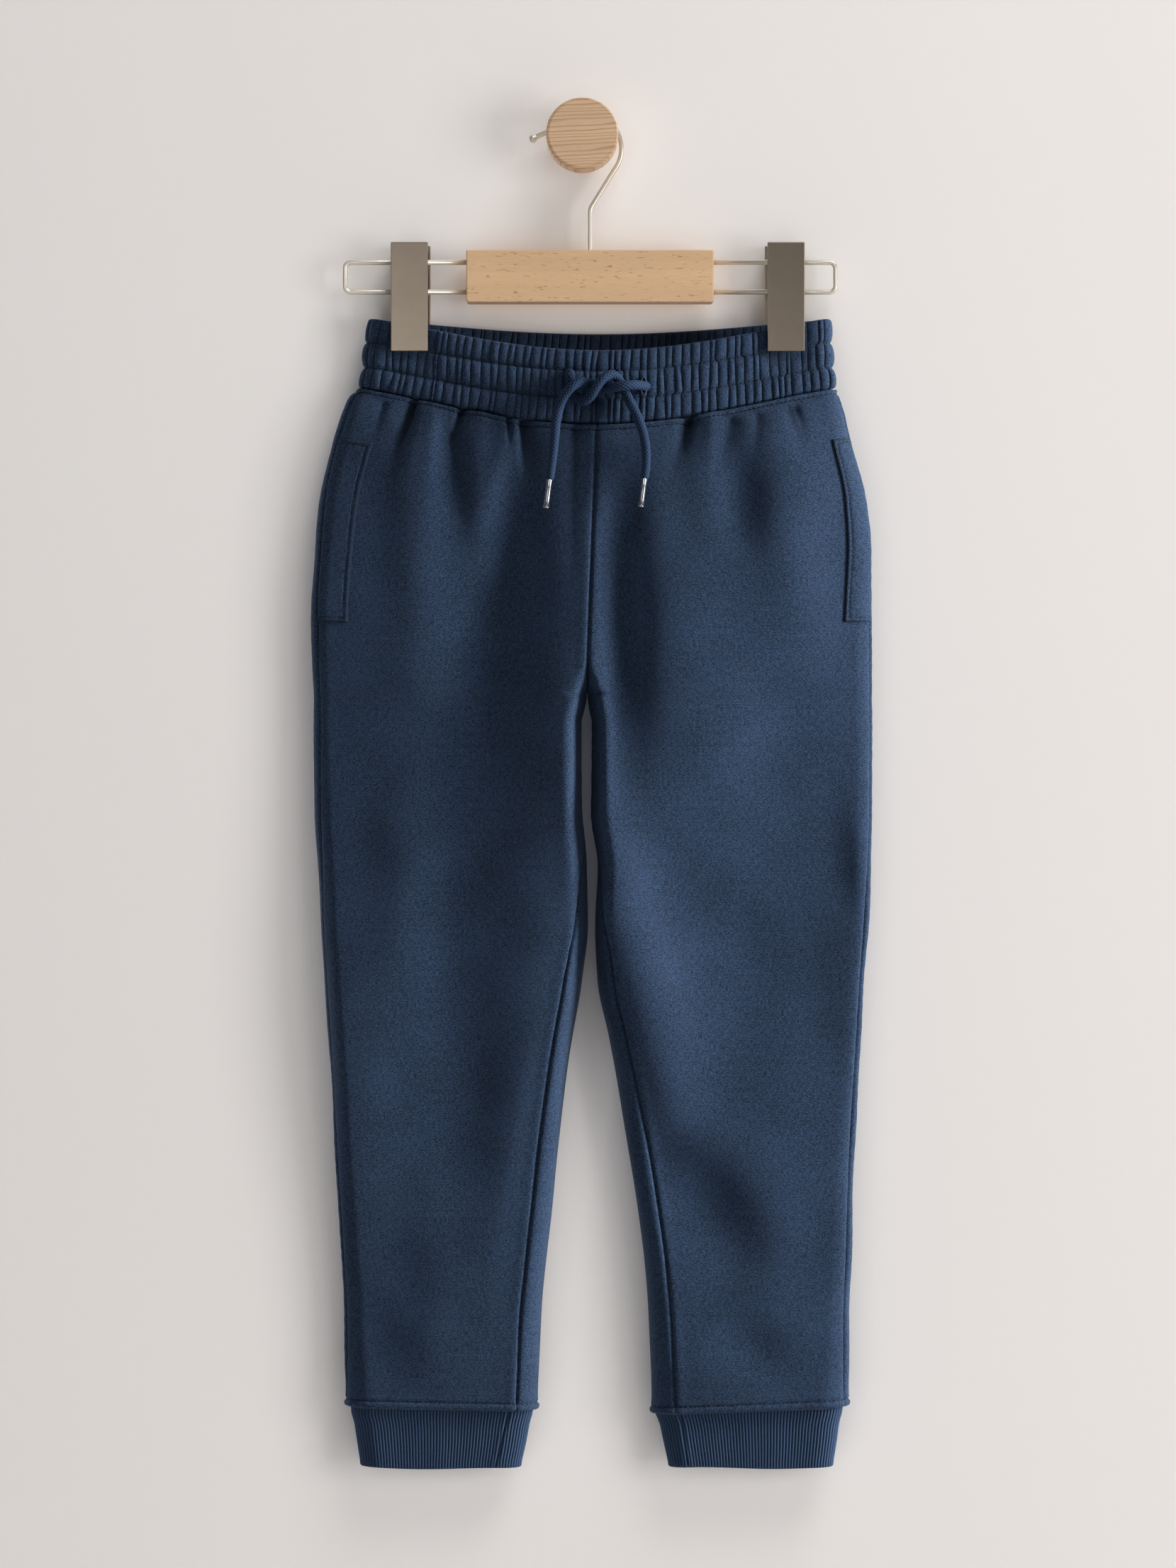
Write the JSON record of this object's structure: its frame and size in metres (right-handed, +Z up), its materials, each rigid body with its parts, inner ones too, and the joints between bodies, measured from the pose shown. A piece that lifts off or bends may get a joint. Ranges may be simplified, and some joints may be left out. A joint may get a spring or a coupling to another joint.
{
  "type": "jogger sweatpants on a clip hanger and wall knob",
  "caption": "Child's navy fleece jogger sweatpants with gathered drawcord waist, side pocket welts and ribbed cuffs, clipped to a wire and beech hanger on a round wooden wall knob.",
  "frame": {"origin": "where the axis of the wall knob's stem meets the wall, the middle of the stem's flat back face", "axes": "+Z up, +Y into the wall, +X towards the wearer's left, which is the right of someone who looks at the front"},
  "size_m": [0.3169, 0.0469, 0.7723],
  "materials": {
    "fleece": "navy brushed-back fleece jersey, matt, faint vertical knit wales",
    "rib": "navy one-by-one rib knit, matt",
    "cord": "navy tubular braided cotton cord, matt",
    "nickel": "satin warm nickel plating, fine brushing",
    "beech": "pale steamed beech with short dark ray flecks, satin lacquer",
    "knob_wood": "pale wood with level growth lines, oiled, satin"
  },
  "bodies": {
    "root": {"front_right_leg": "fleece", "front_left_leg": "fleece", "back_right_leg": "fleece", "back_left_leg": "fleece", "waistband": "fleece", "pocket_welt_right": "fleece", "pocket_welt_left": "fleece", "cuff_right": "rib", "cuff_left": "rib", "drawcord_right": "cord", "drawcord_left": "cord", "aglet_right": "nickel", "aglet_left": "nickel", "hanger_wire_right": "nickel", "hanger_wire_left": "nickel", "hanger_hook": "nickel", "clip_right_front": "nickel", "clip_right_back": "nickel", "clip_right_bridge": "nickel", "clip_left_front": "nickel", "clip_left_back": "nickel", "clip_left_bridge": "nickel", "hanger_block": "beech", "wall_knob": "knob_wood"}
  },
  "joints": []
}
